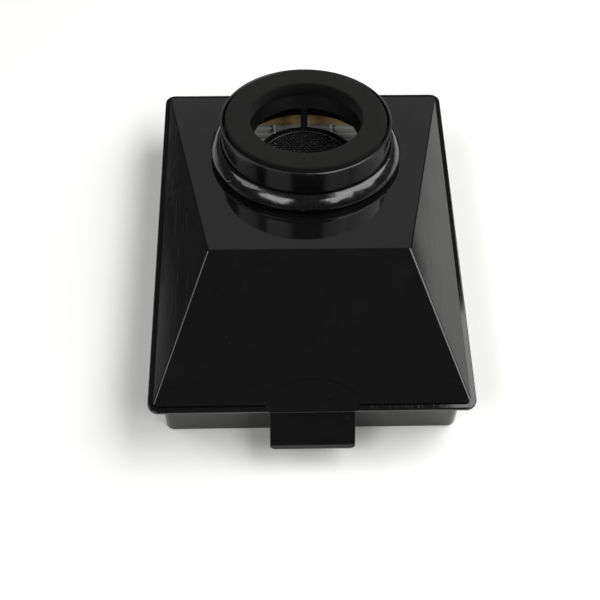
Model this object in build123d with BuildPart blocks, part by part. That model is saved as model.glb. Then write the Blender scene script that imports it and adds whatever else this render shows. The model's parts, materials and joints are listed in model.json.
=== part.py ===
from build123d import *
import os
from math import atan2, cos, radians, sin, tan

# Boxed air filter cartridge: a hipped hood with a round gasketed port, a shallow
# tray that holds a pleated media pack, and a sprung release tab at the front.
# Millimetres. +Z up, +Y to the rear (port end), -Y to the front (release tab).
# Origin: middle of the tray's underside, which is the face the cartridge rests on.

os.makedirs("parts", exist_ok=True)

# ---------------------------------------------------------------- driving dimensions

# Housing outline
housing_width = 146.0
housing_depth = 189.0
rim_top = 28.3
rim_thickness = 2.0
rim_corner_radius = 5.0
rim_edge_radius = 0.7
rim_ledge = 2.7
foot_step = 0.9

# Hood roof
ridge_y = -23.1
ridge_height = 50.6
ridge_half_width = 46.5
hood_wall = 2.2
hip_radius = 1.8
foot_corner_radius = 2.4
scoop_half_width = 21.3
scoop_rise = 12.2
scoop_side = 1.2
mark_radius = 3.1
mark_depth = 0.25
mark_x = 62.6
mark_y = -86.4
edge_margin = 1.0
level_tolerance = 0.01

# Port, measured along its axis from the rear slope of the roof
port_y = 46.15
collar_height = 20.95
collar_radius = 42.1
collar_foot_radius = 41.6
collar_wall = 1.2
collar_edge_radius = 0.35
collar_neck_wall = 3.0
spigot_radius = 37.5
spigot_depth = 3.0
spigot_wall = 2.0
spigot_gap = 0.1
port_cut_reach = 25.0
cup_floor_thickness = 1.8
cage_flange_thickness = 1.0
tape_thickness = 0.35
tape_inner_inset = 0.3
tape_outer_inset = 0.6
gasket_thickness = 7.2
gasket_proud = 1.55
gasket_outer_radius = 39.55
gasket_hole_radius = 27.75
gasket_lip_radius = 0.9
bead_foot_radius = 44.4
bead_bulge_radius = 47.6
bead_bulge_height = 3.4
bead_shoulder_radius = 46.1
bead_shoulder_height = 6.9
bead_crown_radius = 44.9
bead_crown_height = 8.4
bead_top_radius = 43.0
bead_height = 9.2
bead_seat_gap = 0.3

# Diffuser cage
cage_throat_radius = 28.75
cage_tube_end_radius = 26.35
cage_disc_radius = 23.6
cage_wall = 1.5
cage_tube_end = 13.0
cage_disc_level = 24.25
cage_post_count = 3
cage_post_width = 3.5
cage_foot_thickness = 1.0
cage_flange_gap = 0.3
window_clearance = 1.0
screen_thickness = 1.0
screen_hole_radius = 0.85
screen_hole_pitch = 3.0
screen_ledge = 1.6
screen_margin = 1.9
screen_gap = 0.05
screen_grid = 21

# Tray and outlet grille
tray_inset = 5.7
tray_wall = 2.2
tray_floor = 2.2
tray_corner_radius = 4.0
tray_foot_radius = 0.8
rim_seal_thickness = 0.3
window_border = 11.0
window_gap = 0.2
grille_flange = 3.0
grille_flange_thickness = 1.2
grille_rib = 2.0
grille_columns = 7
grille_rows = 10

# Media pack
scrim_thickness = 0.5
bottom_seal_thickness = 1.0
bottom_seal_width = 4.0
pack_top = 18.5
pack_gap = 2.0
board_thickness = 1.2
pleat_pitch = 4.2
pleat_skin = 0.5
spacer_width = 1.6
spacer_height = 0.6
spacer_count = 4
sealant_cover = 2.2
sealant_skirt = 3.0
sealant_top = 24.5
sealant_lip = 0.4

# Release tab, hinged where its root bends under the rim
tab_width = 38.1
tab_thickness = 2.0
tab_slope = 49.0
tab_length = 15.2
tab_lip_length = 2.2
tab_lip_slope = 67.0
tab_corner_radius = 1.6
hinge_radius = 1.15
hinge_gap = 0.05
hinge_y = -93.2
hinge_z = 24.6
root_drop = 4.4

# ---------------------------------------------------------------- worked-out sizes

rim_bottom = rim_top - rim_thickness
facet_foot = rim_top + foot_step
hood_half_width = housing_width / 2 - rim_ledge
hood_half_depth = housing_depth / 2 - rim_ledge
roof_rise = ridge_height - facet_foot
front_slope = atan2(roof_rise, hood_half_depth + ridge_y)
rear_slope = atan2(roof_rise, hood_half_depth - ridge_y)
side_slope = atan2(roof_rise, hood_half_width - ridge_half_width)

tray_width = housing_width - 2 * tray_inset
tray_depth = housing_depth - 2 * tray_inset
inner_width = tray_width - 2 * tray_wall
inner_depth = tray_depth - 2 * tray_wall
tray_top = rim_bottom - rim_seal_thickness
window_width = inner_width - 2 * window_border
window_depth = inner_depth - 2 * window_border

grille_top = tray_floor + grille_flange_thickness
scrim_top = grille_top + scrim_thickness
pack_bottom = scrim_top + bottom_seal_thickness
pack_width = inner_width - 2 * pack_gap
pack_depth = inner_depth - 2 * pack_gap
media_width = pack_width - 2 * board_thickness
media_depth = pack_depth - 2 * board_thickness

# Port frame: its origin is where the port axis meets the roof, its +Z is the axis
port_z = ridge_height - (port_y - ridge_y) * tan(rear_slope)
port_plane = Plane(origin=(0, port_y, port_z), x_dir=(1, 0, 0), z_dir=(0, sin(rear_slope), cos(rear_slope)))
port_axis = Axis(port_plane.origin, port_plane.z_dir)
port_section = Plane(origin=port_plane.origin, x_dir=(1, 0, 0), z_dir=-port_plane.y_dir)

cage_seat = collar_height - gasket_thickness + gasket_proud - tape_thickness - cage_flange_thickness
tape_seat = cage_seat + cage_flange_thickness
gasket_seat = tape_seat + tape_thickness
cup_floor_bottom = cage_seat - cup_floor_thickness
tube_end = collar_height - cage_tube_end
screen_top = collar_height - cage_disc_level
screen_seat = screen_top - screen_thickness
cage_bottom = screen_seat - cage_foot_thickness


def finish(piece, name):
    """Label a finished piece and write its STEP file."""
    piece.part.label = name
    export_step(piece.part, f"parts/{name}.step")


def turned(points):
    """Solid of revolution about the port axis from (radius, height) corners."""
    with BuildPart() as piece:
        with BuildSketch(port_section):
            with BuildLine():
                Polyline(*points, close=True)
            make_face()
        revolve(axis=port_axis)
    return piece


def on_rim(edge):
    """True for the level edges that run round the outside of the hood's rim."""
    centre = edge.center(CenterOf.BOUNDING_BOX)
    reach = max(abs(centre.X) - housing_width / 2, abs(centre.Y) - housing_depth / 2)
    level = edge.bounding_box().size.Z < level_tolerance
    return level and reach > -rim_corner_radius / 2


def roof_side(base, shrink=0.0):
    """Side view of the roof, from height base up to the ridge line."""
    below = ridge_height - base
    with BuildSketch(Plane.YZ) as view:
        with BuildLine():
            Polyline(
                (ridge_y - below / tan(front_slope), base),
                (ridge_y, ridge_height),
                (ridge_y + below / tan(rear_slope), base),
                close=True,
            )
        make_face()
        if shrink:
            offset(amount=-shrink, kind=Kind.INTERSECTION)
    return view.sketch


def roof_front(base, shrink=0.0):
    """Front view of the roof, its side slopes carried on above the ridge."""
    above = 20.0
    foot = ridge_half_width + (ridge_height - base) / tan(side_slope)
    head = ridge_half_width - above / tan(side_slope)
    with BuildSketch(Plane.XZ) as view:
        with BuildLine():
            Polyline(
                (-foot, base),
                (-head, ridge_height + above),
                (head, ridge_height + above),
                (foot, base),
                close=True,
            )
        make_face()
        if shrink:
            offset(amount=-shrink, kind=Kind.INTERSECTION)
    return view.sketch


# ---------------------------------------------------------------- hood

with BuildPart() as roof_cavity:
    extrude(roof_side(0.0, hood_wall), amount=housing_width, both=True)
    extrude(roof_front(0.0, hood_wall), amount=housing_depth, both=True, mode=Mode.INTERSECT)
    with BuildSketch(Plane.XY.offset(rim_bottom)):
        RectangleRounded(inner_width, inner_depth, tray_corner_radius - tray_wall)
    extrude(amount=ridge_height, mode=Mode.INTERSECT)

front_facet = Plane(
    origin=(0, -hood_half_depth, facet_foot),
    x_dir=(1, 0, 0),
    z_dir=(0, -sin(front_slope), cos(front_slope)),
)

with BuildPart() as hood:
    extrude(roof_side(facet_foot), amount=housing_width, both=True)
    extrude(roof_front(facet_foot), amount=housing_depth, both=True, mode=Mode.INTERSECT)
    hips = hood.edges().filter_by(Axis.Z, reverse=True).filter_by_position(
        Axis.Z, facet_foot + edge_margin, ridge_height + edge_margin
    )
    fillet(hips, hip_radius)
    with BuildSketch(Plane.XY.offset(rim_top)):
        RectangleRounded(2 * hood_half_width, 2 * hood_half_depth, foot_corner_radius)
    extrude(amount=foot_step)
    with BuildSketch(Plane.XY.offset(rim_top)):
        RectangleRounded(2 * hood_half_width, 2 * hood_half_depth, foot_corner_radius)
    extrude(amount=ridge_height, mode=Mode.INTERSECT)
    with BuildSketch(Plane.XY.offset(rim_bottom)):
        RectangleRounded(housing_width, housing_depth, rim_corner_radius)
    extrude(amount=rim_thickness)
    rim_edges = hood.edges().filter_by_position(Axis.Z, rim_bottom, rim_top).filter_by(on_rim)
    fillet(rim_edges, rim_edge_radius)
    add(roof_cavity.part, mode=Mode.SUBTRACT)
    # Round hole for the port collar's spigot
    with BuildSketch(port_plane):
        Circle(spigot_radius + spigot_gap)
    extrude(amount=port_cut_reach, both=True, mode=Mode.SUBTRACT)
    # Half-oval thumb recess above the release tab, as deep as the foot step, with sloping sides
    with BuildSketch(front_facet):
        Ellipse(scoop_half_width, scoop_rise)
    with BuildSketch(front_facet.offset(-foot_step * cos(front_slope))):
        Ellipse(scoop_half_width - scoop_side, scoop_rise - scoop_side)
    loft(mode=Mode.SUBTRACT)
    # Two shallow round ejector marks by the front corners
    mark_up = (mark_y + hood_half_depth) / cos(front_slope)
    with BuildSketch(front_facet):
        with Locations((-mark_x, mark_up), (mark_x, mark_up)):
            Circle(mark_radius)
    extrude(amount=-mark_depth, mode=Mode.SUBTRACT)
finish(hood, "hood")


# ---------------------------------------------------------------- port

def at_collar_mouth(edge):
    """True for the two round edges at the mouth of the collar."""
    up = port_plane.to_local_coords(edge.center(CenterOf.BOUNDING_BOX)).Z
    return abs(up - collar_height) < level_tolerance


# The collar is one plain cylinder outside, with a shelf inside for the cage and gasket
cage_outer_radius = cage_throat_radius + cage_wall
shelf_radius = cage_outer_radius + spigot_gap
neck_inner_radius = spigot_radius - spigot_wall
bead_seat = bead_height + bead_seat_gap
port_collar = turned([
    (collar_foot_radius, 0.0),
    (collar_foot_radius, bead_seat),
    (collar_radius, bead_seat),
    (collar_radius, collar_height),
    (collar_radius - collar_wall, collar_height),
    (collar_radius - collar_wall, cage_seat),
    (shelf_radius, cage_seat),
    (shelf_radius, cup_floor_bottom),
    (collar_radius - collar_neck_wall, cup_floor_bottom),
    (collar_radius - collar_neck_wall, spigot_wall),
    (neck_inner_radius, spigot_wall),
    (neck_inner_radius, -spigot_depth),
    (spigot_radius, -spigot_depth),
    (spigot_radius, 0.0),
])
with port_collar:
    fillet(port_collar.edges().filter_by(at_collar_mouth), collar_edge_radius)
finish(port_collar, "port_collar")

# Bead of glue round the foot of the collar, bulging out over the roof
with BuildPart() as collar_glue_bead:
    with BuildSketch(port_section):
        with BuildLine():
            bead_belly = ThreePointArc(
                (bead_foot_radius, 0.0),
                (bead_bulge_radius, bead_bulge_height),
                (bead_shoulder_radius, bead_shoulder_height),
            )
            bead_crown = ThreePointArc(
                bead_belly @ 1,
                (bead_crown_radius, bead_crown_height),
                (bead_top_radius, bead_height),
            )
            Polyline(
                bead_crown @ 1,
                (collar_foot_radius, bead_height),
                (collar_foot_radius, 0.0),
                bead_belly @ 0,
            )
        make_face()
    revolve(axis=port_axis)
finish(collar_glue_bead, "collar_glue_bead")

# Conical basket: a flange that lies on the shelf, a tapering throat, posts and a foot ring
tube_outer = cage_tube_end_radius + cage_wall
disc_outer = cage_disc_radius + cage_wall
cage_flange_radius = collar_radius - collar_wall - cage_flange_gap
diffuser_cage_shell = turned([
    (cage_throat_radius, tape_seat),
    (cage_flange_radius, tape_seat),
    (cage_flange_radius, cage_seat),
    (cage_outer_radius, cage_seat),
    (cage_outer_radius, cup_floor_bottom),
    (tube_outer, tube_end),
    (disc_outer, screen_top),
    (disc_outer, cage_bottom),
    (cage_disc_radius - screen_ledge, cage_bottom),
    (cage_disc_radius - screen_ledge, screen_seat),
    (cage_disc_radius, screen_seat),
    (cage_disc_radius, screen_top),
    (cage_tube_end_radius, tube_end),
])
with BuildPart() as cage_windows:
    with BuildSketch(port_plane.offset(screen_top)):
        Circle(tube_outer + window_clearance)
    extrude(amount=tube_end - screen_top)
    with BuildSketch(port_plane.offset(screen_top)):
        with PolarLocations(0, cage_post_count, start_angle=90):
            with Locations((cage_throat_radius / 2, 0)):
                Rectangle(cage_throat_radius + 2 * window_clearance, cage_post_width)
    extrude(amount=tube_end - screen_top, mode=Mode.SUBTRACT)
with BuildPart() as diffuser_cage:
    add(diffuser_cage_shell.part)
    add(cage_windows.part, mode=Mode.SUBTRACT)
finish(diffuser_cage, "diffuser_cage")

# Perforated disc across the foot of the basket
with BuildPart() as diffuser_screen:
    with BuildSketch(port_plane.offset(screen_seat)):
        Circle(cage_disc_radius - screen_gap)
        hole_span = cage_disc_radius - screen_margin - screen_hole_radius
        grid = HexLocations(screen_hole_pitch / 2, screen_grid, screen_grid).local_locations
        holes = [place.position for place in grid if place.position.length < hole_span]
        with Locations(*holes):
            Circle(screen_hole_radius, mode=Mode.SUBTRACT)
    extrude(amount=screen_thickness)
finish(diffuser_screen, "diffuser_screen")

gasket_tape = turned([
    (cage_throat_radius + tape_inner_inset, tape_seat),
    (gasket_outer_radius - tape_outer_inset, tape_seat),
    (gasket_outer_radius - tape_outer_inset, gasket_seat),
    (cage_throat_radius + tape_inner_inset, gasket_seat),
])
finish(gasket_tape, "gasket_tape")

with BuildPart() as port_gasket:
    with BuildSketch(port_plane.offset(gasket_seat)):
        Circle(gasket_outer_radius)
        Circle(gasket_hole_radius, mode=Mode.SUBTRACT)
    extrude(amount=gasket_thickness)
    face_up = port_gasket.faces().sort_by(port_axis)[-1]
    fillet(face_up.edges(), gasket_lip_radius)
finish(port_gasket, "port_gasket")

# ---------------------------------------------------------------- tray and outlet

with BuildPart() as tray:
    with BuildSketch(Plane.XY):
        RectangleRounded(tray_width, tray_depth, tray_corner_radius)
    extrude(amount=tray_top)
    fillet(tray.edges().group_by(Axis.Z)[0], tray_foot_radius)
    with BuildSketch(Plane.XY.offset(tray_floor)):
        RectangleRounded(inner_width, inner_depth, tray_corner_radius - tray_wall)
    extrude(amount=tray_top, mode=Mode.SUBTRACT)
    with BuildSketch(Plane.XY):
        Rectangle(window_width, window_depth)
    extrude(amount=tray_floor, mode=Mode.SUBTRACT)
finish(tray, "tray")

with BuildPart() as rim_seal:
    with BuildSketch(Plane.XY.offset(tray_top)):
        RectangleRounded(tray_width, tray_depth, tray_corner_radius)
        RectangleRounded(inner_width, inner_depth, tray_corner_radius - tray_wall, mode=Mode.SUBTRACT)
    extrude(amount=rim_seal_thickness)
finish(rim_seal, "rim_seal")

# Guard grille: drops into the window from inside, its underside level with the tray's
grille_width = window_width - 2 * window_gap
grille_depth = window_depth - 2 * window_gap
cell_width = (grille_width - (grille_columns + 1) * grille_rib) / grille_columns
cell_depth = (grille_depth - (grille_rows + 1) * grille_rib) / grille_rows
with BuildPart() as outlet_grille:
    with BuildSketch(Plane.XY):
        Rectangle(grille_width, grille_depth)
    extrude(amount=tray_floor)
    with BuildSketch(Plane.XY.offset(tray_floor)):
        Rectangle(window_width + 2 * grille_flange, window_depth + 2 * grille_flange)
    extrude(amount=grille_flange_thickness)
    with BuildSketch(Plane.XY):
        with GridLocations(cell_width + grille_rib, cell_depth + grille_rib, grille_columns, grille_rows):
            Rectangle(cell_width, cell_depth)
    extrude(amount=grille_top, mode=Mode.SUBTRACT)
finish(outlet_grille, "outlet_grille")

# ---------------------------------------------------------------- media pack

with BuildPart() as outlet_scrim:
    with BuildSketch(Plane.XY.offset(grille_top)):
        Rectangle(pack_width, pack_depth)
    extrude(amount=scrim_thickness)
finish(outlet_scrim, "outlet_scrim")

with BuildPart() as pack_bottom_seal:
    with BuildSketch(Plane.XY.offset(scrim_top)):
        Rectangle(pack_width, pack_depth)
        Rectangle(pack_width - 2 * bottom_seal_width, pack_depth - 2 * bottom_seal_width, mode=Mode.SUBTRACT)
    extrude(amount=bottom_seal_thickness)
finish(pack_bottom_seal, "pack_bottom_seal")

# Four boards round the pleats: the front and rear ones run the full width
board_height = pack_top - pack_bottom
boards = {
    "frame_board_front": (0, -(pack_depth - board_thickness) / 2, pack_width, board_thickness),
    "frame_board_rear": (0, (pack_depth - board_thickness) / 2, pack_width, board_thickness),
    "frame_board_left": (-(pack_width - board_thickness) / 2, 0, board_thickness, media_depth),
    "frame_board_right": ((pack_width - board_thickness) / 2, 0, board_thickness, media_depth),
}
for board_name, (board_x, board_y, board_width, board_depth) in boards.items():
    with BuildPart() as frame_board:
        with BuildSketch(Plane.XY.offset(pack_bottom)):
            with Locations((board_x, board_y)):
                Rectangle(board_width, board_depth)
        extrude(amount=board_height)
    finish(frame_board, board_name)

# Pleated sheet: a zigzag of even folds, its fold lines running across the cartridge
pleat_count = int(media_depth // pleat_pitch)
pitch = media_depth / pleat_count
crest = pack_top - spacer_height
valley = pack_bottom + spacer_height
slant = pleat_skin * ((crest - valley) ** 2 + (pitch / 2) ** 2) ** 0.5 / (pitch / 2)
fold_y = [-media_depth / 2 + i * pitch / 2 for i in range(2 * pleat_count + 1)]
upper = [(y, crest if i % 2 else valley + slant) for i, y in enumerate(fold_y)]
lower = [(y, crest - slant if i % 2 else valley) for i, y in enumerate(fold_y)]
with BuildPart() as pleated_media:
    with BuildSketch(Plane.YZ):
        with BuildLine():
            Polyline(*upper, *reversed(lower), close=True)
        make_face()
    extrude(amount=media_width / 2, both=True)
finish(pleated_media, "pleated_media")

# Threads of hot melt across the crests, which keep the pleats evenly apart
spacer_pitch = media_width / spacer_count
for spacer_name, spacer_bottom in {
    "pleat_spacers_top": crest,
    "pleat_spacers_bottom": valley - spacer_height,
}.items():
    with BuildPart() as pleat_spacers:
        with BuildSketch(Plane.XY.offset(spacer_bottom)):
            with GridLocations(spacer_pitch, 0, spacer_count, 1):
                Rectangle(spacer_width, media_depth)
        extrude(amount=spacer_height)
    finish(pleat_spacers, spacer_name)

# Amber sealant: fills the gap round the pack and climbs the tray wall in a fillet
sealant_gap = pack_gap + sealant_cover
with BuildPart() as media_sealant:
    with BuildSketch(Plane.XY.offset(pack_top - sealant_skirt)):
        RectangleRounded(inner_width, inner_depth, tray_corner_radius - tray_wall)
        Rectangle(pack_width, pack_depth, mode=Mode.SUBTRACT)
    extrude(amount=sealant_skirt)
    with BuildSketch(Plane.XY.offset(pack_top)):
        RectangleRounded(inner_width, inner_depth, tray_corner_radius - tray_wall)
    extrude(amount=sealant_top - pack_top)
    with BuildSketch(Plane.XY.offset(pack_top)):
        Rectangle(inner_width - 2 * sealant_gap, inner_depth - 2 * sealant_gap)
    with BuildSketch(Plane.XY.offset(sealant_top)):
        Rectangle(inner_width - 2 * sealant_lip, inner_depth - 2 * sealant_lip)
    loft(mode=Mode.SUBTRACT)
finish(media_sealant, "media_sealant")

# ---------------------------------------------------------------- release tab

hinge_plane = Plane(
    origin=(-tab_width / 2, hinge_y, hinge_z),
    x_dir=(0, -cos(radians(tab_slope)), -sin(radians(tab_slope))),
    z_dir=(1, 0, 0),
)
lip_turn = radians(tab_lip_slope - tab_slope)
half_tab = tab_thickness / 2
lip_end = tab_lip_length + half_tab * tan(lip_turn / 2)
with BuildPart() as release_tab:
    with BuildSketch(hinge_plane):
        Circle(hinge_radius)
        with BuildLine():
            Polyline(
                (0, -half_tab),
                (tab_length, -half_tab),
                (tab_length + lip_end * cos(lip_turn), -half_tab + lip_end * sin(lip_turn)),
                (
                    tab_length + lip_end * cos(lip_turn) - tab_thickness * sin(lip_turn),
                    -half_tab + lip_end * sin(lip_turn) + tab_thickness * cos(lip_turn),
                ),
                (tab_length - tab_thickness * tan(lip_turn / 2), half_tab),
                (0, half_tab),
                close=True,
            )
        make_face()
    extrude(amount=tab_width)
    lip_face = release_tab.faces().sort_by(Axis.Y)[0]
    fillet(lip_face.edges().sort_by(SortBy.LENGTH)[:2], tab_corner_radius)
finish(release_tab, "release_tab")

# Root block under the rim: the rolled end of the tab turns in its quarter socket
with BuildPart() as tab_root:
    with BuildSketch(Plane.YZ.offset(-tab_width / 2)):
        with BuildLine():
            Polyline(
                (-tray_depth / 2, rim_bottom),
                (hinge_y, rim_bottom),
                (hinge_y, hinge_z),
                (hinge_y + hinge_radius, hinge_z),
                (hinge_y + hinge_radius, rim_bottom - root_drop),
                (-tray_depth / 2, rim_bottom - root_drop),
                close=True,
            )
        make_face()
        with Locations((hinge_y, hinge_z)):
            Circle(hinge_radius + hinge_gap, mode=Mode.SUBTRACT)
    extrude(amount=tab_width)
finish(tab_root, "tab_root")
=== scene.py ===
import json
from math import atan2, ceil, cos, exp, pi, radians, sin, sqrt

import bpy
from mathutils import Matrix, Vector, noise


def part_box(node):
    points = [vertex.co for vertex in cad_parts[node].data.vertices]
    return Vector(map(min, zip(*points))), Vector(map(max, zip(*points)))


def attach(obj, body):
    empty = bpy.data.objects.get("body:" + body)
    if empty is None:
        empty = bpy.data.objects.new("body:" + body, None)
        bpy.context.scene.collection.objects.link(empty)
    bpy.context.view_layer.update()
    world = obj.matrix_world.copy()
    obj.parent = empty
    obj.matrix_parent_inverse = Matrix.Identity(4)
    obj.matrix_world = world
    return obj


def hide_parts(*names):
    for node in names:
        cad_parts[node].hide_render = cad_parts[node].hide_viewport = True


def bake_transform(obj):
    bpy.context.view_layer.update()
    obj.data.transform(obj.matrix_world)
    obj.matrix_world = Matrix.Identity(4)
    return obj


# Boxed air filter cartridge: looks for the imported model. Metres, in the model's own frame.

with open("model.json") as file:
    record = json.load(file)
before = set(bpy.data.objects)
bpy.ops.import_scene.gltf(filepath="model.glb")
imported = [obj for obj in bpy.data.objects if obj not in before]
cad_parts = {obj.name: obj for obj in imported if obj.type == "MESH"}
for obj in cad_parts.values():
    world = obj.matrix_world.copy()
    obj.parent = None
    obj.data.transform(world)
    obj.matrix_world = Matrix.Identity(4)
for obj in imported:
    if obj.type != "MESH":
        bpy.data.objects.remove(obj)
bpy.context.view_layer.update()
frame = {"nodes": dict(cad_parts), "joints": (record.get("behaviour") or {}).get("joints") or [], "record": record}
scene = bpy.context.scene
MM = 0.001
FOLDS = 39  # pleats in the media

# ---------------------------------------------------------------- camera, light, floor

# metres, degrees, and millimetres for the lens and the sensor
CAMERA_PLACE = (-0.01635, -0.31219, 0.45425)
CAMERA_YAW = 2.48
CAMERA_DOWN = 57.04
CAMERA_ROLL = 1.45
CAMERA_LENS = 64.9
SENSOR_WIDTH = 36.0
FLOOR_SIZE = 5.0
FLOOR_PARTS = 40
SKY = 0.085

# name: place, what it points at, width, height, power in watts
LIGHTS = {
    "key_right": ((0.70, 0.22, 0.88), (0.0, 0.0, 0.03), 1.05, 0.90, 13.8),
    "back_card": ((0.08, 1.25, 0.62), (0.0, 0.0, 0.05), 1.5, 0.55, 0.90),
    "front_left_fill": ((-0.68, -0.66, 1.02), (0.0, 0.0, 0.0), 0.65, 0.50, 5.6),
    "front_right_fill": ((0.74, -0.62, 1.02), (0.0, 0.0, 0.0), 0.65, 0.50, 5.2),
    "left_fill": ((-0.88, 0.16, 0.90), (0.0, 0.0, 0.03), 0.6, 0.6, 3.4),
}


def look_matrix(forward, roll=0.0):
    """Rotation of a camera or lamp that looks along forward, rolled about that line."""
    ahead = Vector(forward).normalized()
    right = ahead.cross(Vector((0, 0, 1))).normalized()
    up = right.cross(ahead)
    right, up = right * cos(roll) + up * sin(roll), up * cos(roll) - right * sin(roll)
    return Matrix((right, up, -ahead)).transposed().to_4x4()


def add_camera():
    yaw, down = radians(CAMERA_YAW), radians(CAMERA_DOWN)
    ahead = Vector((sin(yaw) * cos(down), cos(yaw) * cos(down), -sin(down)))
    data = bpy.data.cameras.new("camera")
    data.sensor_width = SENSOR_WIDTH
    data.lens = CAMERA_LENS
    camera = bpy.data.objects.new("camera", data)
    camera.matrix_world = Matrix.Translation(CAMERA_PLACE) @ look_matrix(ahead, radians(CAMERA_ROLL))
    scene.collection.objects.link(camera)
    scene.camera = camera


def add_lights():
    for name, (place, target, width, height, power) in LIGHTS.items():
        data = bpy.data.lights.new(name, "AREA")
        data.shape = "RECTANGLE"
        data.size = width
        data.size_y = height
        data.energy = power
        lamp = bpy.data.objects.new(name, data)
        lamp.matrix_world = Matrix.Translation(place) @ look_matrix(Vector(target) - Vector(place))
        lamp.visible_camera = False
        scene.collection.objects.link(lamp)
    world = bpy.data.worlds.new("studio")
    world.use_nodes = True
    world.node_tree.nodes["Background"].inputs["Color"].default_value = (SKY, SKY, SKY, 1)
    scene.world = world


def new_object(name, verts, faces):
    """A smooth-shaded mesh object from points and faces."""
    mesh = bpy.data.meshes.new(name)
    mesh.from_pydata([tuple(v) for v in verts], [], faces)
    mesh.validate()
    mesh.polygons.foreach_set("use_smooth", [True] * len(mesh.polygons))
    mesh.update()
    obj = bpy.data.objects.new(name, mesh)
    scene.collection.objects.link(obj)
    return obj


def grid_faces(rows, columns):
    """Quads over a grid of points listed row by row; rows and columns count the quads."""
    width = columns + 1
    faces = []
    for i in range(rows):
        for j in range(columns):
            here, above = i * width + j, (i + 1) * width + j
            faces.append((here, here + 1, above + 1, above))
    return faces


def add_part(verts, faces, part):
    """Add the points and faces of another part to these."""
    first = len(verts)
    verts += part[0]
    faces += [tuple(first + index for index in face) for face in part[1]]


def thicken(obj, thick):
    """Make a solid sheet of a bare surface, half the thickness to each side."""
    solid = obj.modifiers.new("thickness", "SOLIDIFY")
    solid.thickness = thick
    solid.offset = 0.0


# ---------------------------------------------------------------- material tools


class Paint:
    """One procedural material: a node tree with short calls to build it."""

    def __init__(self, name, roughness, ior=1.5, **sockets):
        self.material = bpy.data.materials.new(name)
        self.material.use_nodes = True
        self.tree = self.material.node_tree
        self.shader = self.tree.nodes["Principled BSDF"]
        self.shader.inputs["Roughness"].default_value = roughness
        self.shader.inputs["IOR"].default_value = ior
        for socket, value in sockets.items():
            self.shader.inputs[socket.replace("_", " ")].default_value = value
        self.place = self.node("ShaderNodeTexCoord").outputs["Object"]

    def node(self, kind, **inputs):
        made = self.tree.nodes.new(kind)
        for socket, value in inputs.items():
            self.feed(made.inputs[socket.replace("_", " ")], value)
        return made

    def feed(self, socket, value):
        if isinstance(value, bpy.types.NodeSocket):
            self.tree.links.new(value, socket)
        else:
            socket.default_value = value

    def stretched(self, scale, turn=(0, 0, 0)):
        return self.node("ShaderNodeMapping", Vector=self.place, Scale=scale, Rotation=turn).outputs[0]

    def noise(self, scale, detail=2.0, place=None, roughness=0.5, distortion=0.0):
        where = self.place if place is None else place
        made = self.node(
            "ShaderNodeTexNoise",
            Vector=where,
            Scale=scale,
            Detail=detail,
            Roughness=roughness,
            Distortion=distortion,
        )
        return made.outputs["Fac"]

    def cells(self, scale, feature="F1", output="Distance", place=None):
        where = self.place if place is None else place
        made = self.node("ShaderNodeTexVoronoi", Vector=where, Scale=scale)
        made.feature = feature
        return made.outputs[output]

    def span(self, value, low, high, to_low=0.0, to_high=1.0):
        """Value taken from low..high to to_low..to_high, clamped."""
        made = self.node("ShaderNodeMapRange", Value=value)
        for socket, number in zip(("From Min", "From Max", "To Min", "To Max"), (low, high, to_low, to_high)):
            made.inputs[socket].default_value = number
        return made.outputs["Result"]

    def maths(self, kind, first, second):
        made = self.tree.nodes.new("ShaderNodeMath")
        made.operation = kind
        self.feed(made.inputs[0], first)
        self.feed(made.inputs[1], second)
        return made.outputs[0]

    def mix(self, share, first, second):
        made = self.tree.nodes.new("ShaderNodeMix")
        made.data_type = "RGBA"
        for socket, value in zip((made.inputs[0], made.inputs[6], made.inputs[7]), (share, first, second)):
            self.feed(socket, value)
        return made.outputs[2]

    def bump(self, height, distance, normal=None, strength=1.0):
        made = self.node("ShaderNodeBump", Height=height, Distance=distance, Strength=strength)
        if normal is not None:
            self.feed(made.inputs["Normal"], normal)
        return made.outputs["Normal"]

    def set(self, **sockets):
        for socket, value in sockets.items():
            self.feed(self.shader.inputs[socket.replace("_", " ")], value)
        return self.material


def grey(value, alpha=1.0):
    return (value, value, value, alpha)


def black_plastic(name, base, gloss, haze, wave):
    """Glossy moulded plastic: faint warp, orange peel, hairline scratches, smudges, a little dust."""
    p = Paint(name, gloss)
    peel_height, scratch_depth = 0.0000045, 0.0000035
    hairs = []
    for turn, across in ((0.35, 2600), (1.9, 3100), (2.7, 2200)):
        streak = p.noise(1.0, detail=1.0, place=p.stretched((across, 28, 900), (0, 0, turn)))
        hairs.append(p.span(streak, 0.70, 0.78))
    scratches = p.maths("ADD", p.maths("ADD", hairs[0], hairs[1]), hairs[2])
    smudge = p.span(p.noise(46, detail=5.0, roughness=0.62, distortion=0.6), 0.48, 0.72)
    speck = p.span(p.cells(420), 0.055, 0.035)
    sparse = p.span(p.noise(130, detail=1.0), 0.60, 0.66)
    dust = p.maths("MULTIPLY", speck, sparse)
    dull = p.maths("MULTIPLY", smudge, haze)
    rough = p.maths("ADD", dull, p.maths("MULTIPLY", scratches, 0.02))
    rough = p.maths("ADD", rough, p.maths("MULTIPLY", dust, 0.5))
    rough = p.maths("ADD", rough, gloss)
    tint = p.mix(smudge, grey(base), grey(base * 1.5))
    tint = p.mix(p.maths("MULTIPLY", dust, 0.5), tint, grey(0.16))
    warp = p.bump(p.noise(15, detail=1.0), wave)
    peel = p.bump(p.noise(330, detail=2.0), peel_height, warp)
    cut = p.bump(scratches, -scratch_depth, peel)
    return p.set(Base_Color=tint, Roughness=rough, Normal=cut)


def hood_black():
    return black_plastic("hood_black", base=0.0034, gloss=0.055, haze=0.045, wave=0.0005)


def moulded_black():
    return black_plastic("moulded_black", base=0.0036, gloss=0.10, haze=0.08, wave=0.0002)


def cage_black():
    return black_plastic("cage_black", base=0.0022, gloss=0.32, haze=0.10, wave=0.0001)


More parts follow.
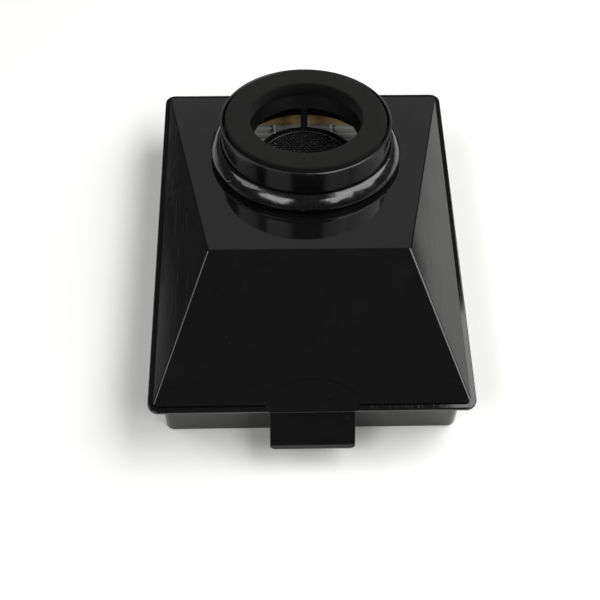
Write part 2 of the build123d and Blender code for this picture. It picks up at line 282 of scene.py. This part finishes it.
def collar_black():
    return black_plastic("collar_black", base=0.0032, gloss=0.16, haze=0.08, wave=0.0001)


def glue_black():
    """Hot glue smoothed round black plastic: wet gloss, drawn ripples, trapped bubbles, cloudy patches."""
    p = Paint("glue_black", 0.16, Coat_Weight=0.25, Coat_Roughness=0.08)
    cloud = p.span(p.noise(120, detail=4.0, roughness=0.6), 0.42, 0.74)
    tint = p.mix(cloud, grey(0.0035), (0.009, 0.009, 0.0084, 1))
    bubble = p.span(p.cells(900), 0.30, 0.10)
    few = p.maths("MULTIPLY", bubble, p.span(p.noise(210, detail=1.0), 0.60, 0.70))
    ripple = p.noise(330, detail=3.0, distortion=0.8)
    rough = p.maths("ADD", p.maths("MULTIPLY", cloud, 0.14), 0.13)
    tilt = p.bump(few, 0.00003, p.bump(ripple, 0.000014))
    return p.set(Base_Color=tint, Roughness=rough, Normal=tilt)


def foam_black():
    """Closed-cell foam: matte, fine open pores on the cut skin with painted shade darkening their pits, pale lint
    here and there.
    """
    p = Paint("foam_black", 0.92, Sheen_Weight=0.02, Sheen_Roughness=0.6, Specular_IOR_Level=0.2)
    pore_pit_and_shade = p.span(p.cells(2600), 0.10, 0.42)
    patch = p.noise(150, detail=4.0, roughness=0.6)
    lint = p.maths("MULTIPLY", p.span(p.cells(340), 0.06, 0.035), p.span(p.noise(90, detail=1.0), 0.6, 0.66))
    # painted shade: the pits of the pores are coloured darker than the skin round them
    tint = p.mix(pore_pit_and_shade, (0.0018, 0.0018, 0.0016, 1), (0.0050, 0.0049, 0.0044, 1))
    tint = p.mix(p.span(patch, 0.3, 0.9, 0.0, 0.6), tint, (0.0060, 0.0059, 0.0054, 1))
    tint = p.mix(p.maths("MULTIPLY", lint, 0.5), tint, grey(0.06))
    skin = p.bump(p.noise(900, detail=3.0), 0.00006, p.bump(pore_pit_and_shade, 0.00009))
    return p.set(Base_Color=tint, Normal=skin)


def paper(name, light, dark, grain, rough=0.85):
    """Fibrous white sheet or board: fibre clumps, faint staining, tooth in the surface."""
    p = Paint(name, rough, Specular_IOR_Level=0.3)
    strands = p.stretched((1.0, 2.6, 1.0))
    fibre = p.noise(grain, detail=6.0, place=strands, roughness=0.7, distortion=1.2)
    stain = p.span(p.noise(35, detail=3.0), 0.45, 0.8)
    tint = p.mix(p.span(fibre, 0.25, 0.75), dark, light)
    tint = p.mix(p.maths("MULTIPLY", stain, 0.35), tint, dark)
    tooth = p.bump(fibre, 0.00012, p.bump(p.noise(grain * 3, detail=2.0), 0.00004))
    return p.set(Base_Color=tint, Normal=tooth)


def media_white():
    return paper("media_white", light=(0.66, 0.66, 0.62, 1), dark=(0.46, 0.46, 0.43, 1), grain=900)


def scrim_white():
    light, dark = (0.80, 0.80, 0.78, 1), (0.58, 0.58, 0.56, 1)
    return paper("scrim_white", light=light, dark=dark, grain=1500, rough=0.95)


def board_white():
    return paper("board_white", light=(0.78, 0.77, 0.72, 1), dark=(0.58, 0.56, 0.50, 1), grain=420)


def tape_film():
    return paper("tape_film", light=(0.50, 0.49, 0.45, 1), dark=(0.32, 0.31, 0.28, 1), grain=700, rough=0.5)


def melt_white():
    """Hot-melt thread: waxy, milky, slightly uneven."""
    p = Paint("melt_white", 0.34, Subsurface_Weight=0.15, Subsurface_Scale=0.001)
    milk = p.noise(420, detail=3.0)
    tint = p.mix(milk, (0.72, 0.69, 0.60, 1), (0.90, 0.88, 0.82, 1))
    rough = p.span(milk, 0.2, 0.8, 0.26, 0.44)
    return p.set(Base_Color=tint, Roughness=rough, Normal=p.bump(p.noise(700, detail=2.0), 0.00008))


def sealant_amber():
    """Amber sealant: glossy, deeper where thick, with bubbles and a wrinkled skin."""
    p = Paint("sealant_amber", 0.15, Subsurface_Weight=0.2, Subsurface_Scale=0.002, Coat_Weight=0.5)
    depth = p.noise(120, detail=4.0, roughness=0.6)
    bubble = p.span(p.cells(520), 0.34, 0.10)
    tint = p.mix(depth, (0.38, 0.21, 0.08, 1), (0.72, 0.52, 0.27, 1))
    tint = p.mix(p.maths("MULTIPLY", bubble, 0.35), tint, (0.84, 0.68, 0.42, 1))
    skin = p.bump(bubble, 0.00012, p.bump(p.noise(260, detail=3.0, distortion=0.9), 0.00030))
    rough = p.span(depth, 0.3, 0.8, 0.12, 0.30)
    return p.set(Base_Color=tint, Roughness=rough, Normal=skin)


def seal_foam():
    """Dark grey foam strip with fine cells, painted shade darkening the pit of each cell."""
    p = Paint("seal_foam", 0.9, Specular_IOR_Level=0.25)
    cell = p.span(p.cells(1900), 0.1, 0.45)
    # painted shade: the pit of each cell is coloured darker than its rim
    tint = p.mix(cell, grey(0.02), grey(0.055))
    return p.set(Base_Color=tint, Normal=p.bump(cell, 0.0001))


def floor_white():
    """Off-white table top, faintly uneven."""
    p = Paint("floor_white", 0.75)
    tint = p.mix(p.noise(3.0, detail=3.0), (0.862, 0.870, 0.842, 1), (0.896, 0.902, 0.876, 1))
    return p.set(Base_Color=tint, Normal=p.bump(p.noise(600, detail=2.0), 0.00003))


# ---------------------------------------------------------------- pieces on the port axis

mounts = {mount["name"]: mount for mount in frame["record"]["mounts"]}
AXIS = Vector(mounts["port_bore"]["axis"]).normalized()
CENTRE = Vector(mounts["port_bore"]["pos_m"])
ACROSS = Vector((1, 0, 0))
BEHIND = AXIS.cross(ACROSS)


def port_span(node):
    """(lowest, highest) height and (smallest, largest) radius of a CAD node about the port axis."""
    heights, radii = [], []
    for vertex in frame["nodes"][node].data.vertices:
        away = vertex.co - CENTRE
        heights.append(away.dot(AXIS))
        radii.append((away - AXIS * heights[-1]).length)
    return min(heights), max(heights), min(radii), max(radii)


def port_point(radius, angle, height):
    return CENTRE + AXIS * height + (ACROSS * cos(angle) + BEHIND * sin(angle)) * radius


def hills(place, scale, seed):
    """Smooth noise, about -1 to 1, at a place given in metres and hills per metre."""
    return noise.noise(Vector(place) * scale + Vector((seed * 7.3, seed * 3.1, seed * 5.7)))


def layered(place, *layers):
    """Sum of layers of hills, each given as (hills per metre, seed, size)."""
    return sum(hills(place, scale, seed) * size for scale, seed, size in layers)


def closed_sweep(rings, loop=True):
    """Points and quads for rings of equal length, joined in order and, if loop, last to first."""
    size = len(rings[0])
    verts = [point for ring in rings for point in ring]
    faces = []
    for i in range(len(rings) if loop else len(rings) - 1):
        here, there = i * size, (i + 1) % len(rings) * size
        for j in range(size):
            k = (j + 1) % size
            faces.append((here + j, there + j, there + k, here + k))
    if not loop:
        last = (len(rings) - 1) * size
        faces.append(tuple(range(size)))
        faces.append(tuple(reversed(range(last, last + size))))
    return verts, faces


def settle(obj, nodes, material):
    """Give a new piece its material and, unless it bends, its body, and hide the CAD nodes it stands for."""
    obj.data.materials.append(material)
    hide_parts(*nodes)
    if not obj.get("bends"):
        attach(obj, "cartridge")


def curve_through(points, parts):
    """Points along a smooth curve through the given (x, y) points, parts to each span."""
    out = []
    last = len(points) - 1
    for i in range(last):
        before, here = Vector(points[max(i - 1, 0)]), Vector(points[i])
        there, after = Vector(points[i + 1]), Vector(points[min(i + 2, last)])
        for k in range(parts):
            t = k / parts
            out.append(0.5 * (2 * here + (there - before) * t
                              + (2 * before - 5 * here + 4 * there - after) * t ** 2
                              + (3 * here - before - 3 * there + after) * t ** 3))
    out.append(Vector(points[-1]))
    return out


def make_bead():
    """Bead of glue round the collar's foot: a full shoulder, a rolled edge, faint laps and a few specks."""
    low, high, inner, outer = port_span("collar_glue_bead")
    tall, wide = high - low, outer - inner
    # share of the bead's width and height: groove at the neck, shoulder, rolled edge, undercut, foot
    profile = [(0.02, 0.93), (0.09, 0.955), (0.22, 0.985), (0.40, 0.93), (0.62, 0.80), (0.82, 0.63),
               (0.945, 0.49), (0.985, 0.38), (0.95, 0.27), (0.83, 0.15), (0.66, 0.06), (0.50, -0.02)]
    side = curve_through(profile, 5)
    # angle round the axis, level as a share of the height, half width in radians, size in millimetres
    specks = [(-2.32, 0.36, 0.012, -0.9), (-1.62, 0.36, 0.010, 0.45), (-2.50, 0.55, 0.014, 0.35),
              (-0.62, 0.42, 0.012, 0.35), (2.90, 0.45, 0.015, 0.4), (1.10, 0.5, 0.012, 0.4)]
    speck_stretch, speck_reach = 4.5, 3.0
    sunk, lapped, back_drop = 0.4 * MM, 0.1 * MM, 0.9 * MM
    noise_circle = 0.05
    around = 1080
    rings = []
    for i in range(around):
        angle = 2 * pi * i / around
        mark = Vector((cos(angle), sin(angle), 0)) * noise_circle
        swell = layered(mark, (34, 1, 0.26), (120, 2, 0.08), (420, 3, 0.012)) - 0.08
        rise = layered(mark, (40, 4, 0.30), (150, 5, 0.12)) - 0.12
        ring = []
        for across, up in side:
            radius = inner + wide * across + swell * MM * min(1.0, across * 1.4)
            height = low + tall * up + rise * MM * max(0.0, min(1.0, up * 1.3))
            point = port_point(radius, angle, height)
            lump = layered(point, (190, 6, 0.05), (620, 7, 0.012))
            for at, level, width, size in specks:
                off = (angle - at + pi) % (2 * pi) - pi
                gap = (off / width) ** 2 + ((up - level) / (width * speck_stretch)) ** 2
                if gap < speck_reach ** 2:
                    lump += size * exp(-gap)
            out = (point - port_point(inner, angle, low + tall * 0.35)).normalized()
            ring.append(point + out * lump * MM * max(0.0, min(1.0, up * 6, across * 8)))
        ring.append(port_point(inner + wide * 0.4, angle, low - sunk))
        ring.append(port_point(inner - lapped, angle, low - sunk))
        ring.append(port_point(inner - lapped, angle, high - back_drop))
        rings.append(ring)
    obj = new_object("glue_bead", *closed_sweep(rings))
    settle(obj, ["collar_glue_bead"], glue_black())


def make_foam():
    """Foam ring at the mouth of the port: softly rounded lips, a slightly uneven cut skin."""
    low, high, inner, outer = port_span("port_gasket")
    lip = 0.95 * MM
    lip_parts, flat_parts = 8, 14
    side = [(inner, low)]
    for centre_radius, start in ((inner + lip, pi), (outer - lip, pi / 2)):
        for k in range(lip_parts + 1):
            turn = start - k * pi / 2 / lip_parts
            side.append((centre_radius + lip * cos(turn), high - lip + lip * sin(turn)))
        if centre_radius < outer - lip:
            for k in range(1, flat_parts):
                side.append((inner + lip + (outer - inner - 2 * lip) * k / flat_parts, high))
    side.append((outer, low + (high - low) * 0.5))
    side.append((outer, low))
    around = 480
    rings = []
    for i in range(around):
        angle = 2 * pi * i / around
        ring = []
        for radius, height in side:
            place = port_point(radius, angle, height)
            soft = (height - low) / (high - low)
            dip = layered(place, (45, 11, 0.10), (300, 12, 0.05), (1300, 13, 0.03)) - 0.09
            pull = layered(place, (70, 14, 0.12), (900, 15, 0.03)) * soft
            if radius >= (inner + outer) / 2:
                pull = -abs(pull)
            ring.append(port_point(radius + pull * MM, angle, height + dip * MM * soft))
        rings.append(ring)
    obj = new_object("foam_gasket", *closed_sweep(rings))
    settle(obj, ["port_gasket"], foam_black())


def make_screen():
    """Perforated disc: close-set punched holes within a plain raised border."""
    low, high, _, outer = port_span("diffuser_screen")
    pitch, hole, corners = 2.0 * MM, 0.62 * MM, 12
    row_gap = pitch * sqrt(3) / 2
    border = outer - 2.2 * MM
    border_lap, hole_round = 0.5 * MM, 0.08 * MM
    inner_round, outer_round = 0.12 * MM, 0.1 * MM
    verts, faces = [], []
    middle, half = (low + high) / 2, (high - low) / 2 * 0.62

    def put(x, y, height):
        verts.append(port_point(sqrt(x * x + y * y), atan2(y, x), height))
        return len(verts) - 1

    rows = ceil(outer / row_gap)
    for row in range(-rows, rows + 1):
        for column in range(-rows - 1, rows + 2):
            x = (column + (row % 2) / 2) * pitch
            y = row * row_gap
            if sqrt(x * x + y * y) > border + border_lap:
                continue
            cell = []
            for k in range(corners):
                turn = pi / 6 + k * 2 * pi / corners
                edge = pitch / sqrt(3) if k % 2 == 0 else pitch / 2
                section = ((edge, half), (hole + hole_round, half), (hole, half * 0.8),
                           (hole, -half), (edge, -half))
                cell.append([put(x + reach * cos(turn), y + reach * sin(turn), middle + level)
                             for reach, level in section])
            for k in range(corners):
                here, there = cell[k], cell[(k + 1) % corners]
                for j in range(4):
                    faces.append((here[j], there[j], there[j + 1], here[j + 1]))
    around = 180
    outline = [(border, low), (border, high - inner_round), (border + inner_round, high),
               (outer - outer_round, high), (outer, high - outer_round), (outer, low)]
    rings = []
    for i in range(around):
        angle = 2 * pi * i / around
        rings.append([port_point(radius, angle, height) for radius, height in outline])
    add_part(verts, faces, closed_sweep(rings))
    obj = new_object("perforated_screen", verts, faces)
    weld = obj.modifiers.new("weld", "WELD")
    weld.merge_threshold = 0.02 * MM
    settle(obj, ["diffuser_screen"], cage_black())


# ---------------------------------------------------------------- media pack


def make_media():
    """Pleated paper: rounded, slightly uneven folds, a thin sheet from wall to wall."""
    low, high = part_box("pleated_media")
    per_fold, across = 16, 60
    thick = 0.45 * MM
    pitch = (high.y - low.y) / FOLDS
    middle, reach = (low.z + high.z) / 2, (high.z - low.z) / 2 - thick / 2
    verts = []
    count = FOLDS * per_fold
    for i in range(count + 1):
        turn = i / per_fold
        for j in range(across + 1):
            x = low.x + (high.x - low.x) * j / across
            y = low.y + turn * pitch
            phase = 2 * pi * turn
            wave = -cos(phase)
            shape = wave * (1.0 + 0.28 * (1 - wave * wave)) * 0.995
            lean = layered((x, y, 0), (60, 21, 0.28), (220, 22, 0.10))
            inside = sin(pi * i / count) ** 0.15
            sag = hills((x, round(turn) * pitch, 0), 90, 23) * 0.25 - 0.25
            verts.append((x, y + lean * MM * abs(wave) * inside, middle + shape * (reach + sag * MM * 0.5)))
    obj = new_object("pleated_paper", verts, grid_faces(count, across))
    thicken(obj, thick)
    settle(obj, ["pleated_media"], media_white())


def make_threads(node, name):
    """Hot-melt threads across the crests: fat where they grip a fold, thin in between."""
    low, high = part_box(node)
    media_low, media_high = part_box("pleated_media")
    columns, section, per_fold = 4, 10, 10
    pitch = (media_high.y - media_low.y) / FOLDS
    step = (media_high.x - media_low.x) / columns
    width = (high.x - low.x) - (columns - 1) * step
    over = low.z > media_low.z
    verts, faces = [], []
    for column in range(columns):
        centre = low.x + width / 2 + column * step
        rings = []
        total = FOLDS * per_fold
        for i in range(total + 1):
            y = low.y + (high.y - low.y) * i / total
            grip = 0.5 - 0.5 * cos(2 * pi * (y - media_low.y) / pitch)
            if not over:
                grip = 1 - grip
            fat = 0.62 + 0.38 * grip + hills((centre, y, 0), 500, 31) * 0.10
            drift = hills((centre, y, 0), 45, 32) * 0.5 * MM
            mid = (low.z + high.z) / 2 + (0.5 - grip) * (-0.08 if over else 0.08) * MM
            tall = (high.z - low.z) / 2 * min(1.0, 0.55 + 0.45 * fat)
            rings.append([
                Vector((centre + drift + width / 2 * fat * cos(turn), y, mid + tall * sin(turn)))
                for turn in (2 * pi * k / section for k in range(section))
            ])
        add_part(verts, faces, closed_sweep(rings, loop=False))
    obj = new_object(name, verts, faces)
    settle(obj, [node], melt_white())


def rounded_path(half_width, half_depth, radius, spacing):
    """Points with outward normals round a rounded rectangle, at about the spacing given."""
    path = []
    corner_parts = 6
    corners = [(1, 1), (-1, 1), (-1, -1), (1, -1)]
    for quarter, (sx, sy) in enumerate(corners):
        centre = Vector((sx * (half_width - radius), sy * (half_depth - radius), 0))
        for k in range(corner_parts + 1):
            turn = (quarter + k / corner_parts) * pi / 2
            out = Vector((cos(turn), sin(turn), 0))
            path.append((centre + out * radius, out))
        next_x, next_y = corners[(quarter + 1) % len(corners)]
        goal = Vector((next_x * (half_width - radius), next_y * (half_depth - radius), 0)) + out * radius
        start = path[-1][0]
        parts = max(2, int((goal - start).length / spacing))
        path += [(start.lerp(goal, k / parts), out) for k in range(1, parts)]
    return path


def make_sealant():
    """Amber sealant: fills the gap round the pack and climbs the wall in an uneven hollow fillet."""
    low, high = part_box("media_sealant")
    top_of_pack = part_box("frame_board_front")[1].z
    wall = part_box("frame_board_front")[0].y - low.y
    foot, brim_drop, skin, film = 4.2 * MM, 0.6 * MM, 0.12 * MM, 0.05 * MM
    corner, spacing, gap, parts = 1.8 * MM, 1.0 * MM, 0.02 * MM, 14
    rings = []
    for place, out in rounded_path(high.x, high.y, corner, spacing):
        climb = high.z - brim_drop + layered(place, (70, 41, 0.7), (260, 42, 0.3)) * MM
        creep = foot + layered(place, (90, 43, 0.6), (400, 44, 0.3)) * MM
        ring = []
        for k in range(parts + 1):
            t = k / parts
            inset = skin + (creep - skin) * t ** 1.7
            level = climb + (top_of_pack + film - climb) * sin(t * pi / 2) ** 0.85
            at = place - out * inset
            lump = layered((at.x, at.y, level), (330, 45, 0.28), (900, 46, 0.10)) * MM
            lump *= sin(pi * t)
            ring.append(Vector((at.x - out.x * lump, at.y - out.y * lump, level + lump * 0.6)))
        under_side = ((creep - 0.3 * MM, top_of_pack - gap), (wall, top_of_pack - gap), (wall, low.z),
                      (gap, low.z), (gap, climb - 0.2 * MM))
        for inset, level in under_side:
            at = place - out * inset
            ring.append(Vector((at.x, at.y, level)))
        rings.append(ring)
    obj = new_object("amber_sealant", *closed_sweep(rings))
    settle(obj, ["media_sealant"], sealant_amber())


def make_scrim():
    """Non-woven cover sheet laid in the bottom of the tray, gently cockled between the grille's ribs."""
    low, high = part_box("outlet_scrim")
    across, along = 110, 150
    thick, lift, cockle_height = 0.22 * MM, 0.09 * MM, 0.16 * MM
    verts = []
    for i in range(along + 1):
        for j in range(across + 1):
            x = low.x + (high.x - low.x) * j / across
            y = low.y + (high.y - low.y) * i / along
            cockle = layered((x, y, 0), (55, 51, 0.5), (240, 52, 0.25))
            verts.append((x, y, low.z + thick * 0.6 + lift + cockle * cockle_height))
    obj = new_object("cover_scrim", verts, grid_faces(along, across))
    thicken(obj, thick)
    settle(obj, ["outlet_scrim"], scrim_white())


# ---------------------------------------------------------------- release tab


def make_tab():
    """Sprung tab and its root as one moulding, bending at the hinge line under the rim."""
    root_low, root_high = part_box("tab_root")
    half_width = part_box("release_tab")[1].x
    hinge = Vector(frame["joints"][0]["pos_m"])
    slope, lip_slope = radians(50.0), radians(62.0)
    thick, length, lip_length, corner = 2.0 * MM, 15.0 * MM, 1.75 * MM, 1.6 * MM
    edge = 0.32 * MM
    root_depth, ease, gap = 1.15 * MM, 0.5 * MM, 0.02 * MM
    root_parts, slope_parts, bend_parts, end_parts, close_parts = 6, 30, 8, 12, 3

    def down(angle):
        return Vector((0, -cos(angle), -sin(angle)))

    def inward(angle):
        return Vector((0, sin(angle), -cos(angle)))

    top = root_high.z - gap
    outer_start = hinge - inward(slope) * thick / 2
    outer_start -= down(slope) * ((top - outer_start.z) / sin(slope))
    inner_start = hinge + inward(slope) * thick / 2
    face = root_low.y + root_depth
    inner_start -= down(slope) * ((face - inner_start.y) / cos(slope))
    stations = []
    for k in range(root_parts + 1):
        t = k / root_parts
        outer = Vector((0, root_high.y + (outer_start.y + ease - root_high.y) * t, top))
        inner = Vector((0, root_high.y + (face - root_high.y) * t, root_low.z))
        stations.append((outer, inner, half_width))
    for k in range(1, root_parts + 1):
        t = k / root_parts
        outer = Vector((0, outer_start.y + ease * (1 - t), top))
        inner = Vector((0, face - gap * t, root_low.z + (inner_start.z - root_low.z) * t))
        stations.append((outer, inner, half_width))
    bend = hinge + down(slope) * length
    outer_bend = bend - inward(slope) * thick / 2
    inner_bend = bend + inward(slope) * thick / 2 - down(slope) * thick * sin((lip_slope - slope) / 2)
    for k in range(1, slope_parts + 1):
        share = (k / slope_parts) ** 1.25 * 0.94
        outer = outer_start.lerp(outer_bend, share)
        inner = inner_start.lerp(inner_bend, share)
        stations.append((outer, inner, half_width))
    last_outer, last_inner = stations[-1][:2]
    step = 0.30 * MM
    for k in range(1, bend_parts + 1):
        angle = slope + (lip_slope - slope) * k / bend_parts
        last_outer = last_outer + down(angle) * step * 1.05
        last_inner = last_outer + inward(angle) * thick
        stations.append((last_outer, last_inner, half_width))
    end = lip_length - 0.9 * MM
    for k in range(1, end_parts + 1):
        gone = end * k / end_parts
        left = max(0.0, corner - (end - gone))
        half = half_width - (corner - sqrt(max(corner * corner - left * left, 0.0)))
        stations.append((last_outer + down(lip_slope) * gone, last_inner + down(lip_slope) * gone, half))

    rings = []
    for outer, inner, half in stations:
        rings.append(tab_ring(outer, inner, half, edge))
    outer, inner, half = stations[-1]
    for k in range(1, close_parts + 1):
        turn = k * pi / 2 / close_parts
        ahead = down(lip_slope) * edge * sin(turn)
        shrink = edge * (1 - cos(turn))
        pull = inward(lip_slope) * shrink
        rings.append(tab_ring(outer + pull + ahead, inner - pull + ahead, half - shrink, edge * 0.7))
    obj = new_object("release_tab_strip", *closed_sweep(rings, loop=False))
    normals = obj.modifiers.new("normals", "WEIGHTED_NORMAL")
    normals.keep_sharp = False
    obj["bends"] = True
    settle(obj, ["release_tab", "tab_root"], moulded_black())
    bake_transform(obj)


def tab_ring(outer, inner, half, edge):
    """Rounded rectangle across the tab, from its outer face to its inner one."""
    thick = (inner - outer).length
    through = (inner - outer).normalized()
    parts = 4
    corners = ((1, edge, -pi / 2), (1, thick - edge, 0), (-1, thick - edge, pi / 2), (-1, edge, pi))
    ring = []
    for side, depth, start in corners:
        for k in range(parts + 1):
            turn = start + k * pi / 2 / parts
            x = side * (half - edge) + edge * cos(turn)
            ring.append(Vector((x, 0, 0)) + outer + through * (depth + edge * sin(turn)))
    return ring


# ---------------------------------------------------------------- CAD nodes that stay

KEPT = {
    "hood": hood_black,
    "tray": moulded_black,
    "port_collar": collar_black,
    "diffuser_cage": cage_black,
    "outlet_grille": moulded_black,
    "gasket_tape": tape_film,
    "rim_seal": glue_black,
    "pack_bottom_seal": seal_foam,
    "frame_board_front": board_white,
    "frame_board_rear": board_white,
    "frame_board_left": board_white,
    "frame_board_right": board_white,
}


def finish_kept():
    """Detailed materials for the CAD nodes that show as they are, one per kind."""
    made = {}
    for node, recipe in KEPT.items():
        obj = frame["nodes"][node]
        if recipe not in made:
            made[recipe] = recipe()
        obj.data.materials.clear()
        obj.data.materials.append(made[recipe])


def make_floor():
    half = FLOOR_SIZE / 2
    side = [-half + FLOOR_SIZE * k / FLOOR_PARTS for k in range(FLOOR_PARTS + 1)]
    verts = [(x, y, 0) for y in side for x in side]
    floor = new_object("floor", verts, grid_faces(FLOOR_PARTS, FLOOR_PARTS))
    floor.data.materials.append(floor_white())


finish_kept()
make_bead()
make_foam()
make_screen()
make_media()
make_threads("pleat_spacers_top", "spacer_threads_top")
make_threads("pleat_spacers_bottom", "spacer_threads_bottom")
make_sealant()
make_scrim()
make_tab()
make_floor()
add_camera()
add_lights()
scene.view_settings.view_transform = "Standard"
